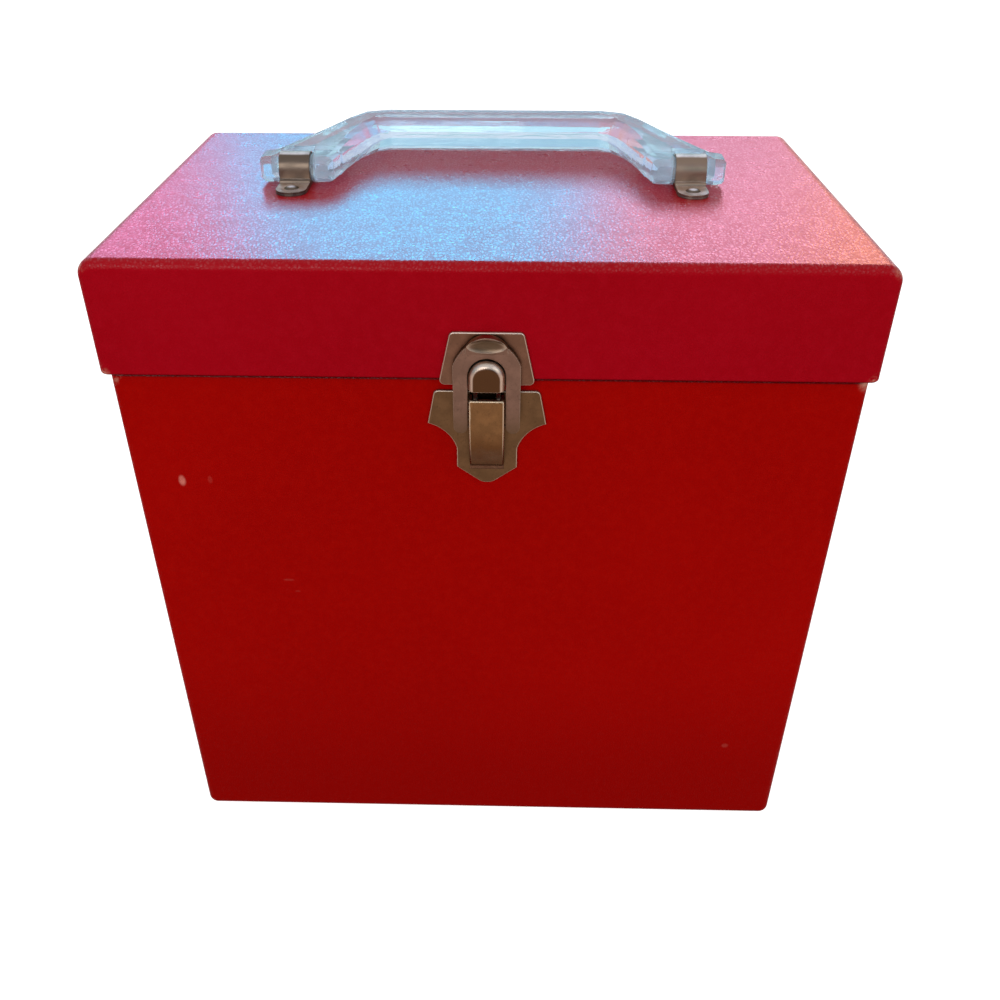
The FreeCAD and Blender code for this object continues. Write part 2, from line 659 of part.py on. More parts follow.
COLLAR_INSIDE = f"{HALF_DEPTH} - {COLLAR_FACE} - collar"
LID_INSIDE = f"{LID_HALF_DEPTH} - {COLLAR_FACE}"
wall_rivets("latch_base", BASE_RIVETS, "front", f"{HALF_DEPTH} + plate", COLLAR_INSIDE,
            "flat_head_radius", "flat_head_height")
wall_rivets("strike", STRIKE_RIVETS, "front", f"{LID_HALF_DEPTH} + plate", LID_INSIDE,
            "flat_head_radius", "flat_head_height")
wall_rivets("body_hinge", BODY_HINGE_RIVETS, "back", f"{HALF_DEPTH} + hinge_leaf", COLLAR_INSIDE,
            "hinge_head_radius", "hinge_head_height")
wall_rivets("lid_hinge", LID_HINGE_RIVETS, "back", f"{LID_HALF_DEPTH} + hinge_leaf", LID_INSIDE,
            "hinge_head_radius", "hinge_head_height")

FOOT_TOP = f"{LID_TOP} + strap + clip_layer_gap + strap"
HANDLE_WASHER_Z = f"{LID_TOP} - {COLLAR_FACE} - handle_washer_thickness"
DOME_CENTRE = "(handle_head_height ^ 2 - handle_head_radius ^ 2) / (2 * handle_head_height)"
DOMED = [("handle_head_radius", "0"), ("0", "handle_head_height", "about", "0", DOME_CENTRE, 1)]
keep(group("handle_rivets", [
    rivet(f"handle_rivet_{side}", x, HANDLE_RIVET_Y, FOOT_TOP, "top", f"({FOOT_TOP}) - ({HANDLE_WASHER_Z})",
          DOMED, "handle_shank_radius", "handle_clench_radius", "handle_clench_height")
    for side, x in zip(("left", "right"), CLIP_X)]))
keep(group("handle_washers", [
    washer(f"handle_washer_{side}", x, HANDLE_RIVET_Y, HANDLE_WASHER_Z, "top", "handle_washer_radius",
           "handle_shank_radius + rivet_clearance", "handle_washer_thickness")
    for side, x in zip(("left", "right"), CLIP_X)]))


# Hinges: two leaves of sheet metal rolled round a pin, with the pin's axis as their origin

def hinge_leaf(label, x, profile, knuckles, gaps, up):
    """A leaf from its side profile, with its own knuckles and the gaps for the other leaf's."""
    leaf = new_body(label, x, HINGE_Y, "seam_height")
    side = sketch_on(leaf, "YZ_Plane")
    outline(side, profile)
    pad(leaf, side, "hinge_width", symmetric=True)
    end = "hinge_leaf_height" if up else "-hinge_leaf_height"
    round_off(leaf, "hinge_corner_radius", along("y"), level_with("Z", end))
    face = sketch_on(leaf, "XZ_Plane", f"{KNUCKLE} + lid_overhang + overrun")
    reach = f"({KNUCKLE} + knuckle_gap)"
    low, high = (f"-{reach}", reach)
    for x0, x1 in gaps:
        outline(face, rectangle(x0, low, x1, high))
    pocket(leaf, face, f"2 * ({KNUCKLE} + lid_overhang + overrun)")
    for x0, x1 in knuckles:
        ring = sketch_on(leaf, "YZ_Plane", x0)
        circle(ring, "0", "0", KNUCKLE)
        pad(leaf, ring, f"({x1}) - ({x0})")
    bore = sketch_on(leaf, "YZ_Plane")
    circle(bore, "0", "0", "hinge_pin_radius + running_clearance")
    pocket(leaf, bore, "hinge_width + overrun", symmetric=True)
    holes = sketch_on(leaf, "XZ_Plane", f"{KNUCKLE} + lid_overhang + overrun")
    level = "hinge_rivet_level" if up else "-hinge_rivet_level"
    for step in ("-", ""):
        circle(holes, f"{step}hinge_rivet_spread", level, "shank_radius + rivet_clearance")
    pocket(leaf, holes, f"2 * ({KNUCKLE} + lid_overhang + overrun)")
    return keep(leaf)


def hinge(side, x):
    half = "hinge_width / 2"
    middle = "hinge_middle_knuckle / 2"
    inner = f"-({KNUCKLE})"
    outer = f"-({KNUCKLE}) + hinge_leaf"
    lid_profile = [(inner, "0"), (outer, "0"), (outer, "hinge_leaf_height"), (inner, "hinge_leaf_height")]
    wall_inner = f"-({KNUCKLE}) - lid_overhang"
    wall_outer = f"-({KNUCKLE}) - lid_overhang + hinge_leaf"
    body_profile = [(inner, "0"), (inner, "-joggle_end"), (wall_inner, "-joggle_start"),
                    (wall_inner, "-hinge_leaf_height"), (wall_outer, "-hinge_leaf_height"),
                    (wall_outer, "-joggle_start"), (outer, "-joggle_end"), (outer, "0")]
    outside = [(f"-({half}) - overrun", f"-({middle}) - knuckle_gap"),
               (f"{middle} + knuckle_gap", f"{half} + overrun")]
    centre = [(f"-({middle}) - knuckle_gap", f"{middle} + knuckle_gap")]
    hinge_leaf(f"{side}_hinge_lid_leaf", x, lid_profile, [(f"-({middle})", middle)], outside, True)
    hinge_leaf(f"{side}_hinge_body_leaf", x, body_profile,
               [(f"-({half})", f"-({middle}) - 2 * knuckle_gap"),
                (f"{middle} + 2 * knuckle_gap", half)], centre, False)
    pin = new_body(f"{side}_hinge_pin", x, HINGE_Y, "seam_height")
    sketch = sketch_on(pin, "XZ_Plane")
    head = f"{half} + hinge_pin_head"
    outline(sketch, [(f"-({head})", "0"), (head, "0"), (head, "hinge_pin_radius"),
                     (half, "hinge_pin_head_radius"), (half, "hinge_pin_radius"),
                     (f"-({half})", "hinge_pin_radius"), (f"-({half})", "hinge_pin_head_radius"),
                     (f"-({head})", "hinge_pin_radius")])
    turn = pin.newObject("PartDesign::Revolution", f"{side}_hinge_pin_turn")
    turn.Profile = sketch
    turn.ReferenceAxis = (sketch, ["H_Axis"])
    turn.Angle = 360
    keep(pin)


hinge("left", "-hinge_offset")
hinge("right", "hinge_offset")


# Draw latch. Sketches on the upright plane have x to the right, z up, and grow out to the front.

def rivet_holes(plate, places, level):
    sketch = sketch_on(plate, "XZ_Plane", level)
    for x, z in places:
        circle(sketch, x, z, "shank_radius + rivet_clearance")
    pocket(plate, sketch, "plate + overrun")


def make_strike_plate():
    """The trapezoid plate on the lid, with the hood that the loop pulls down on."""
    plate = new_body("strike_plate")
    low = "seam_height - strike_drop"
    top = "seam_height + strike_top"
    sketch = sketch_on(plate, "XZ_Plane", LID_HALF_DEPTH)
    outline(sketch, both_sides([("strike_low_half", low), ("strike_top_half", top)]))
    pad(plate, sketch, "plate")
    round_off(plate, "strike_corner_radius", along("y"))
    front = f"-({LID_HALF_DEPTH} + plate)"
    round_off(plate, "plate_edge_radius", level_with("Y", front))

    shoulder = "seam_height + hood_top - hood_half"
    hood = sketch_on(plate, "XZ_Plane", LID_HALF_DEPTH)
    outline(hood, [("-hood_half", low), ("hood_half", low), ("hood_half", shoulder),
                   ("-hood_half", shoulder, "about", "0", shoulder, 1)])
    pad(plate, hood, "plate + hood_rise")
    tip = level_with("Y", f"-({LID_HALF_DEPTH} + plate + hood_rise)")
    lowest = level_with("Z", low)
    round_off(plate, "hood_round", tip, lambda edge: not lowest(edge))

    inner = "(hood_half - hood_wall)"
    hollow = sketch_on(plate, "XZ_Plane", f"{LID_HALF_DEPTH} + plate + hood_rise - hood_wall")
    outline(hollow, [(f"-{inner}", f"{low} - overrun"), (inner, f"{low} - overrun"), (inner, shoulder),
                     (f"-{inner}", shoulder, "about", "0", shoulder, 1)])
    pocket(plate, hollow, "plate + hood_rise - hood_wall + overrun")
    rivet_holes(plate, STRIKE_RIVETS, f"{LID_HALF_DEPTH} + plate + overrun / 2")
    return keep(plate)


def make_base_plate():
    """The shield-shaped plate on the body, with two lugs that carry the lever's pin."""
    plate = new_body("latch_base_plate")
    points = [("base_neck_half", "base_neck_end"), ("base_neck_half", "base_neck"),
              ("base_wide_half", "base_wide"), ("base_top_half", "base_top")]
    right = [(x, f"seam_height - {drop}") for x, drop in points]
    left = [(f"-{x}", z) for x, z in reversed(right)]
    right[2] = right[2] + ("left", "base_flank_radius")
    left[2] = left[2] + ("left", "base_flank_radius")
    sketch = sketch_on(plate, "XZ_Plane", HALF_DEPTH)
    outline(sketch, [("0", "seam_height - base_apex")] + right + left)
    pad(plate, sketch, "plate")
    round_off(plate, "base_apex_radius", along("y"), level_with("Z", "seam_height - base_apex"))
    round_off(plate, "base_corner_radius", along("y"), level_with("Z", "seam_height - base_top"))
    round_off(plate, "plate_edge_radius", level_with("Y", f"-({HALF_DEPTH} + plate)"))

    pin_y = f"-({HALF_DEPTH} + pivot_out)"
    pin_z = "seam_height - pivot_drop"
    root = f"-({HALF_DEPTH} + plate / 2)"
    lugs = sketch_on(plate, "YZ_Plane")
    outline(lugs, [(root, f"{pin_z} - lug_radius"), (root, f"{pin_z} + lug_radius"),
                   (pin_y, f"{pin_z} + lug_radius"),
                   (pin_y, f"{pin_z} - lug_radius", "about", pin_y, pin_z, 1)])
    pad(plate, lugs, "2 * (lug_inner_half + lug)", symmetric=True)
    between = sketch_on(plate, "YZ_Plane")
    face = f"-({HALF_DEPTH} + plate)"
    far = f"{pin_y} - lug_radius - overrun"
    outline(between, rectangle(far, f"{pin_z} - lug_radius - overrun", face, f"{pin_z} + lug_radius + overrun"))
    pocket(plate, between, "2 * lug_inner_half", symmetric=True)
    bore = sketch_on(plate, "YZ_Plane")
    circle(bore, pin_y, pin_z, "lever_pin_radius + running_clearance")
    pocket(plate, bore, "2 * (lug_inner_half + lug + overrun)", symmetric=True)
    rivet_holes(plate, BASE_RIVETS, f"{HALF_DEPTH} + plate + overrun / 2")
    return keep(plate)


def make_lever():
    """A channel that swings on its pin; its origin is that pin's axis."""
    lever = new_body("latch_lever", "0", f"-({HALF_DEPTH} + pivot_out)", "seam_height - pivot_drop")
    face = "-lever_face"
    toe = "lever_toe_in"
    lip = "-lever_length - lever_lip"
    side = sketch_on(lever, "YZ_Plane")
    outline(side, [(face, "lever_top"),
                   (toe, "-lever_length", "right", "lever_bow_radius"),
                   (f"{toe} - lever_lip / 2", lip),
                   (f"{toe} - lever_lip / 2 + lever_wall", lip),
                   ("lever_back", "-lever_length + lever_lip"),
                   ("lever_back", "-lever_shoulder"),
                   ("lever_toe_in", "lever_top")])
    pad(lever, side, "2 * lever_half", symmetric=True)

    bow = value("lever_bow_radius")
    round_off(lever, "lever_edge_radius", lambda edge: abs(getattr(edge.Curve, "Radius", 0) - bow) < TOUCH)
    round_off(lever, "lever_edge_radius", along("x"), level_with("Z", "lever_top"), level_with("Y", face))

    inside = sketch_on(lever, "YZ_Plane")
    behind = "lever_back + overrun"
    outline(inside, [(f"{face} + lever_wall", "lever_top + overrun"),
                     (f"{face} + lever_wall", "lever_top"),
                     (f"{toe}", "-lever_length + lever_wall", "right", "lever_bow_radius - lever_wall"),
                     (behind, "-lever_length + lever_wall"), (behind, "lever_top + overrun")])
    pocket(lever, inside, "2 * (lever_half - lever_wall)", symmetric=True)
    bores = sketch_on(lever, "YZ_Plane")
    circle(bores, "0", "0", "lever_pin_radius + running_clearance")
    circle(bores, "loop_pivot_in", "-loop_pivot_drop", "loop_pin_radius + running_clearance")
    pocket(lever, bores, "2 * (lever_half + overrun)", symmetric=True)
    return keep(lever)


def make_lever_pin():
    pin = new_body("lever_pin", "0", f"-({HALF_DEPTH} + pivot_out)", "seam_height - pivot_drop")
    sketch = sketch_on(pin, "YZ_Plane")
    circle(sketch, "0", "0", "lever_pin_radius")
    pad(pin, sketch, "2 * lever_half", symmetric=True)
    return keep(pin)


def make_loop():
    """The loop that hooks over the hood; its origin is the axis of its two turned-in pins."""
    loop = new_body("latch_loop", "0", f"-({HALF_DEPTH} + {LOOP_OUT})", f"seam_height - {LOOP_DROP}")

    def up(level):
        return f"{level} + {LOOP_DROP}"

    arm = "((loop_half - loop_window_half) / 2)"
    middle = "((loop_half + loop_window_half) / 2)"
    arch = "loop_window_top - loop_window_half"
    sketch = sketch_on(loop, "XZ_Plane", "-loop_thickness / 2")
    outline(sketch, [
        ("loop_window_half", "0"),
        ("loop_half", "0", "about", middle, "0", 1),
        ("loop_half", up("loop_shoulder")),
        ("loop_crown_half", up("loop_crown"), "right", "loop_shoulder_radius"),
        ("-loop_crown_half", up("loop_crown"), "right", CROWN_RADIUS),
        ("-loop_half", up("loop_shoulder"), "right", "loop_shoulder_radius"),
        ("-loop_half", "0"),
        ("-loop_window_half", "0", "about", f"-{middle}", "0", 1),
        ("-loop_window_half", up(arch)),
        ("loop_window_half", up(arch), "about", "0", up(arch), -1)])
    pad(loop, sketch, "loop_thickness")

    lip = sketch_on(loop, "XZ_Plane", "loop_thickness / 2")
    outline(lip, [
        ("-loop_crown_half", up("loop_lip_start")), ("loop_crown_half", up("loop_lip_start")),
        ("loop_crown_half", up("loop_crown")),
        ("-loop_crown_half", up("loop_crown"), "right", CROWN_RADIUS)])
    pad(loop, lip, "loop_lip")
    slope = sketch_on(loop, "YZ_Plane")
    face = "-loop_thickness / 2"
    outline(slope, [(face, up("loop_lip_start")), (f"{face} - loop_lip", up("loop_top")),
                    (f"{face} - loop_lip - overrun", up("loop_top")),
                    (f"{face} - loop_lip - overrun", up("loop_lip_start"))])
    pocket(loop, slope, "2 * loop_half", symmetric=True)
    scoop = loop.newObject("PartDesign::SubtractiveEllipsoid", "finger_scoop")
    bind(scoop, Radius1="scoop_rise", Radius2="scoop_half", Radius3="scoop_depth",
         Placement__Base__y=f"{face} - scoop_out", Placement__Base__z=up("scoop_level"))
    for sign in ("-", ""):
        start = "loop_pin_reach" if sign == "" else f"-({arm} + loop_window_half)"
        stub = sketch_on(loop, "YZ_Plane", start)
        circle(stub, "0", "0", "loop_pin_radius")
        pad(loop, stub, f"{arm} + loop_window_half - loop_pin_reach")
    return keep(loop)


make_strike_plate()
make_base_plate()
make_lever()
make_lever_pin()
make_loop()


# Clips: a strap bent round the handle's bar, both ends brought together in one foot

def make_clip(side, x):
    """Its origin is the bar's axis."""
    clip = new_body(f"{side}_handle_clip", x, "handle_axis_y", f"{LID_TOP} + {STRAP_OUTER}")
    ground = f"-{STRAP_OUTER}"
    foot = f"{ground} + strap + clip_layer_gap + strap"
    profile = sketch_on(clip, "YZ_Plane")
    outline(profile, [
        ("-clip_foot", foot), ("-clip_foot", ground), ("0", ground),
        ("0", STRAP_OUTER, "about", "0", "0", 1),
        (f"-{STRAP_OUTER}", "0", "about", "0", "0", 1),
        (f"-{STRAP_OUTER}", f"{foot} + clip_bend_radius"),
        (f"-{STRAP_OUTER} - clip_bend_radius", foot, "right", "clip_bend_radius")])
    pad(clip, profile, "strap_width", symmetric=True)
    bore = sketch_on(clip, "YZ_Plane")
    circle(bore, "0", "0", "bar_radius + strap_clearance")
    pocket(clip, bore, "strap_width + overrun", symmetric=True)
    slit = sketch_on(clip, "YZ_Plane")
    outline(slit, rectangle("-clip_foot - overrun", f"{ground} + strap",
                            f"-{STRAP_OUTER}", f"{ground} + strap + clip_layer_gap"))
    pocket(clip, slit, "strap_width + overrun", symmetric=True)
    round_off(clip, "clip_tip_radius", along("z"), level_with("Y", "-clip_foot"))
    hole = sketch_on(clip, "XY_Plane", f"{foot} + overrun")
    circle(hole, "0", "-clip_rivet", "handle_shank_radius + rivet_clearance")
    pocket(clip, hole, f"{STRAP_OUTER} + overrun + overrun")
    return keep(clip)


for side, x in zip(("left", "right"), CLIP_X):
    make_clip(side, x)


# Handle: a clear moulding with flat facets, bent like a bow, with a bar through each clip

# Its cross-sections: places across the depth and through the thickness, as shares of each
GRIP_DEPTH_SHARES = (0, 0.14, 0.27, 0.73, 0.86, 1)
GRIP_HEIGHT_SHARES = (0.17, 0.71, 1)
BAR_DEPTH_SHARES = (0, 0.03, 0.09, 0.91, 0.97, 1)
BAR_HEIGHT_SHARES = (0.7, 0.92, 1)

# Stations from the grip round to the front of the end bar. The inner and outer points are
# (across, along) shares: across from the grip's end to the end bar, along from the axis to the grip.
STATION_SHARES = [
    # inner point, outer point, share of the grip's thickness over the bar's
    ((0.00, 1.00), (0.03, 1.00), 1.00),
    ((0.26, 0.94), (0.27, 0.95), 0.97),
    ((0.46, 0.80), (0.42, 0.79), 0.88),
    ((0.64, 0.60), (0.60, 0.52), 0.68),
    ((0.84, 0.32), (0.82, 0.23), 0.34),
    ((0.96, 0.13), (0.93, 0.09), 0.08),
]
# End bar: place from its back to its front, and thickness, as shares of the bar's radius
BAR_SHARES = [(0.9, 1.0), (0.0, 1.0), (-0.54, 0.98), (-0.8, 0.78), (-1.0, 0.53)]


def section(inner, outer, half, thick):
    """The faceted section between an inner and an outer point: the bar's at 0, the grip's at 1."""
    def between(bar_shares, grip_shares):
        return [bar + (grip - bar) * thick for bar, grip in zip(bar_shares, grip_shares)]

    across = outer - inner
    rise = FreeCAD.Vector(0, 0, half)
    rising = between(BAR_HEIGHT_SHARES, GRIP_HEIGHT_SHARES)
    heights = rising + rising[::-1]
    depths = between(BAR_DEPTH_SHARES, GRIP_DEPTH_SHARES)
    places = [(inner + across * deep, rise * high) for deep, high in zip(depths, heights)]
    points = [spot + lift for spot, lift in places]
    points += [spot - lift for spot, lift in reversed(places)]
    return Part.makePolygon(points + points[:1])


def handle_form():
    grip_inner, handle_half, bar = value("grip_inner"), value("handle_half"), value("bar_radius")
    grip_outer = grip_inner + value("grip_depth")
    grip_end, arm_inner = handle_half - value("shoulder"), handle_half - value("arm")
    grip_half, bar_half = value("grip_half"), value("bar_half")
    wires = []
    for (in_x, in_y), (out_x, out_y), thick in STATION_SHARES:
        inner = FreeCAD.Vector(grip_end + (arm_inner - grip_end) * in_x, grip_inner * in_y, 0)
        outer = FreeCAD.Vector(grip_end + (handle_half - grip_end) * out_x, grip_outer * out_y, 0)
        wires.append((inner, outer, bar_half + (grip_half - bar_half) * thick, thick))
    taper = bar / 2
    for place, thick in BAR_SHARES:
        narrow = taper * (1 - thick)
        inner = FreeCAD.Vector(arm_inner + narrow + taper * (1 - place) / 2, bar * place, 0)
        outer = FreeCAD.Vector(handle_half - narrow, bar * place, 0)
        wires.append((inner, outer, bar_half * thick, 0))
    right = [section(*station) for station in wires]

    def flip(point):
        return FreeCAD.Vector(-point.x, point.y, point.z)

    left = [section(flip(inner), flip(outer), half, thick) for inner, outer, half, thick in reversed(wires)]
    return Part.makeLoft(left + right, True, True)


def make_handle():
    """The moulding with a slot behind each bar, lying back on the lid."""
    form = doc.addObject("Part::Feature", "handle_form")
    form.Shape = handle_form()
    start = f"{CLIP_OFFSET} - strap_width / 2 - slot_clearance"
    finish = f"{CLIP_OFFSET} + strap_width / 2 + slot_clearance"
    slots = []
    bars = []
    for side, x0, x1 in (("left", f"-({finish})", f"-({start})"), ("right", start, finish)):
        slots.append(block(f"{side}_slot", x0, "-bar_radius - overrun - overrun", "-grip_half - overrun",
                           x1, "bar_radius + slot_depth", "grip_half + overrun"))
        bar = doc.addObject("Part::Cylinder", f"{side}_bar")
        bar.Placement.Rotation = FreeCAD.Rotation(FreeCAD.Vector(0, 1, 0), 90)
        bind(bar, Radius="bar_radius", Height=f"({x1}) - ({x0}) + slot_clearance * 2",
             Placement__Base__x=f"{x0} - slot_clearance")
        bars.append(bar)
    slotted = cut("handle_slotted", form, *slots)
    handle = fuse("handle", slotted, *bars)
    handle.Placement.Rotation = FreeCAD.Rotation(FreeCAD.Vector(1, 0, 0), value("handle_tilt_angle"))
    bind(handle, Placement__Base__y="handle_axis_y", Placement__Base__z=f"{LID_TOP} + {STRAP_OUTER}")
    return keep(handle)


make_handle()
doc.recompute()


# Check every object, then write each piece

for item in doc.Objects:
    if "Invalid" in item.State or "Error" in item.State:
        raise ValueError(f"{item.Label} failed: {item.State}")
for node in NODES:
    if node.Shape.isNull() or not node.Shape.isValid():
        raise ValueError(f"{node.Label} has no valid shape")

os.makedirs("parts", exist_ok=True)
for node in NODES:
    node.Shape.exportStep(os.path.join("parts", f"{node.Label}.step"))
    solids = len(node.Shape.Solids)
    print(f"{node.Label}: {solids} solid(s), {node.Shape.Volume:.1f} mm3")
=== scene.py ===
"""Looks of the record carrying case: a material for each piece, the floor, the light and the camera."""

import math

import bpy
from mathutils import Matrix, Vector


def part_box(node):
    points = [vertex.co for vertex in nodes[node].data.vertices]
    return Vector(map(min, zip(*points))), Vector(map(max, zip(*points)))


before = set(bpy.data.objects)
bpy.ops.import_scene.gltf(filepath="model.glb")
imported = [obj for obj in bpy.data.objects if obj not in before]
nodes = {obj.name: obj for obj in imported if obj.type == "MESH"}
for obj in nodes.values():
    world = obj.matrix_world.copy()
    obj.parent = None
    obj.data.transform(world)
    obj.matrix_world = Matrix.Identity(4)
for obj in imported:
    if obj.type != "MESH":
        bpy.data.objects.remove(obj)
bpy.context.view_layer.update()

# Main sizes of the case in metres, from the frame
HALF_WIDTH, HALF_DEPTH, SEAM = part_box("body_cover")[1]
LID_HALF_WIDTH, LID_HALF_DEPTH, LID_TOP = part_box("lid_cover")[1]


# Node helpers

class Graph:
    """Adds and links the shader nodes of one material or world."""

    def __init__(self, owner, output="ShaderNodeOutputMaterial"):
        owner.use_nodes = True
        self.owner = owner
        self.tree = owner.node_tree
        self.tree.nodes.clear()
        self.output = self.add(output)
        self.place = self.add("ShaderNodeTexCoord")

    @property
    def position(self):
        """The place in the case's own frame, which turns with its body."""
        return self.place.outputs["Object"]

    @property
    def level(self):
        """The height above the floor when the case is shut."""
        return self.parts(self.position)[2]

    @property
    def facing(self):
        """The surface's direction in the case's own frame."""
        return self.place.outputs["Normal"]

    def add(self, kind, **inputs):
        """A new node. Each keyword names one of its inputs, with underscores for spaces."""
        node = self.tree.nodes.new(kind)
        for name, item in inputs.items():
            self.set(node, name.replace("_", " "), item)
        return node

    def set(self, node, name, item):
        """Link an output to a node's input, or set the input to a value."""
        if isinstance(item, bpy.types.NodeSocket):
            self.tree.links.new(item, node.inputs[name])
        else:
            node.inputs[name].default_value = item

    def math(self, operation, first, second=0.0, clamp=False):
        node = self.add("ShaderNodeMath")
        node.operation = operation
        node.use_clamp = clamp
        self.set(node, 0, first)
        self.set(node, 1, second)
        return node.outputs[0]

    def vector(self, operation, first, second=(0, 0, 0)):
        node = self.add("ShaderNodeVectorMath")
        node.operation = operation
        self.set(node, 0, first)
        self.set(node, 1, second)
        result = "Value" if operation in ("LENGTH", "DOT_PRODUCT") else "Vector"
        return node.outputs[result]

    def parts(self, vector):
        """The x, y and z of a vector."""
        node = self.add("ShaderNodeSeparateXYZ", Vector=vector)
        return node.outputs[0], node.outputs[1], node.outputs[2]

    def ramp(self, item, low, high, out_low=0.0, out_high=1.0):
        """A smooth step from out_low to out_high as the item goes from low to high."""
        node = self.add("ShaderNodeMapRange")
        node.interpolation_type = "SMOOTHSTEP"
        self.set(node, "Value", item)
        self.set(node, "From Min", low)
        self.set(node, "From Max", high)
        self.set(node, "To Min", out_low)
        self.set(node, "To Max", out_high)
        return node.outputs["Result"]

    def noise(self, scale, detail=3.0, roughness=0.5, vector=None, distortion=0.0):
        """Soft lumps, as many to a metre as the scale says."""
        node = self.add("ShaderNodeTexNoise", Vector=vector or self.position, Scale=scale, Detail=detail,
                        Roughness=roughness, Distortion=distortion)
        return node.outputs["Fac"]

    def cells(self, scale, vector):
        """Distance to the nearest border of a pattern of cells."""
        node = self.add("ShaderNodeTexVoronoi")
        node.feature = "DISTANCE_TO_EDGE"
        self.set(node, "Vector", vector)
        self.set(node, "Scale", scale)
        return node.outputs["Distance"]

    def mix(self, factor, first, second):
        """A colour between two colours."""
        node = self.add("ShaderNodeMix")
        node.data_type = "RGBA"
        self.set(node, 0, factor)
        self.set(node, 6, first)
        self.set(node, 7, second)
        return node.outputs[2]

    def bump(self, height, distance, below=None):
        """A surface direction bent by a height in metres, on top of the bump below it."""
        node = self.add("ShaderNodeBump", Height=height, Distance=distance, Strength=1.0)
        if below is not None:
            self.set(node, "Normal", below)
        return node.outputs["Normal"]

    def blend(self, factor, first, second):
        """A shader between two shaders."""
        node = self.add("ShaderNodeMixShader")
        self.set(node, 0, factor)
        self.set(node, 1, first.outputs[0])
        self.set(node, 2, second.outputs[0])
        return node

    def finish(self, shader):
        """Send the shader to the output and return the material or world."""
        self.set(self.output, "Surface", shader.outputs[0])
        return self.owner


def colour(red, green, blue):
    return (red, green, blue, 1.0)


def shade(tone, amount):
    """A tone made darker, or lighter where the amount is over 1."""
    return colour(*[part * amount for part in tone])


def spot(graph, centre, size, rim_share=0.35):
    """1 inside an ellipsoid, falling to 0 at its surface over a share of its radius."""
    apart = graph.vector("SUBTRACT", graph.position, centre)
    scaled = graph.vector("DIVIDE", apart, size)
    return graph.ramp(graph.vector("LENGTH", scaled), 1.0, 1.0 - rim_share)


WHITE = colour(1, 1, 1)


# Leatherette

# Painted shade low on the body and along the seam, then rubbed wear, bare corners and scuffs
SHADED_FOOT_RED = colour(0.208, 0.0012, 0.0006)
SEAM_SHADE = colour(0.05, 0.0005, 0.0008)
RUBBED_RED = colour(0.42, 0.06, 0.045)
BARE_CORNER = colour(0.47, 0.21, 0.15)
SCUFF_PINK = colour(0.62, 0.22, 0.17)

# Levels between which the red grows darker towards the foot, a painted shade
FOOT_TOP = 0.085
FOOT_BOTTOM = 0.012

# Distances from the seam: half its line of painted shade, half the darkest part, and where edges rub
# fully
SEAM_LINE = 0.001
SEAM_CORE = 0.0004
SEAM_CLEAR = 0.004

# Rubbed edges and bare corners: how ragged they are, where they end and where they are full
RUB_RAGGED, RUB_END, RUB_FULL = 0.0016, 0.0019, 0.0009
BARE_RAGGED, BARE_END, BARE_FULL = 0.004, 0.0062, 0.0038

# Embossed grain: pebbles and finer lumps to a metre, drawn out to twice their length front to back
PEBBLES = 1120.0
FINE_LUMPS = 1300.0
GRAIN_DRAW = (1.0, 0.5, 1.0)
GRAIN_DEPTH = 0.00003

# Specular level of the sides and the top, and its share in the grain's valleys and on its crests
SIDE_POLISH, TOP_POLISH = 0.015, 0.5
VALLEY_SHARE, CREST_SHARE = 0.36, 1.56
LEATHER_IOR = 1.30

# How far a scuff reaches in from the front, and how much of its radius its soft rim takes
SCUFF_DEPTH = 0.004
SCUFF_RIM_SHARE = 0.6
# Scuffs on the front: place across and up, half width and half height, strength
SCUFFS = [
    (-0.0873, 0.1413, 0.0013, 0.0022, 0.75),
    (-0.0792, 0.1417, 0.0009, 0.0016, 0.22),
    (-0.0606, 0.1056, 0.0022, 0.0006, 0.22),
    (-0.0583, 0.1012, 0.0012, 0.0005, 0.18),
    (0.0815, 0.036, 0.0015, 0.0013, 0.28),
]


def box_edges(graph, centre, half):
    """Distances in metres from a point inside a box to its nearest edge and nearest corner."""
    apart = graph.vector("SUBTRACT", graph.position, centre)
    inside = graph.vector("SUBTRACT", half, graph.vector("ABSOLUTE", apart))
    x, y, z = [graph.math("MULTIPLY", part, part) for part in graph.parts(inside)]
    pairs = [graph.math("ADD", first, second) for first, second in ((x, y), (y, z), (x, z))]
    nearest = graph.math("MINIMUM", graph.math("MINIMUM", pairs[0], pairs[1]), pairs[2])
    return graph.math("SQRT", nearest), graph.vector("LENGTH", inside)


def leather_red(graph, blue):
    """Broad and fine mottling of the red, with a painted shade darkening it towards the foot."""
    broad = graph.noise(9.0, 2.0)
    mottled = graph.noise(420.0, 3.0, 0.6)
    deep = colour(0.252, 0.0012, blue)
    light = colour(0.280, 0.0015, blue * 1.3)
    fleck = colour(0.31, 0.003, blue * 2)
    base = graph.mix(graph.ramp(broad, 0.3, 0.7), deep, light)
    base = graph.mix(graph.ramp(mottled, 0.35, 0.75, 0.0, 0.35), base, fleck)
    # Painted shade: the red darkens towards the foot
    return graph.mix(graph.ramp(graph.level, FOOT_TOP, FOOT_BOTTOM, 0.0, 0.75), base, SHADED_FOOT_RED)


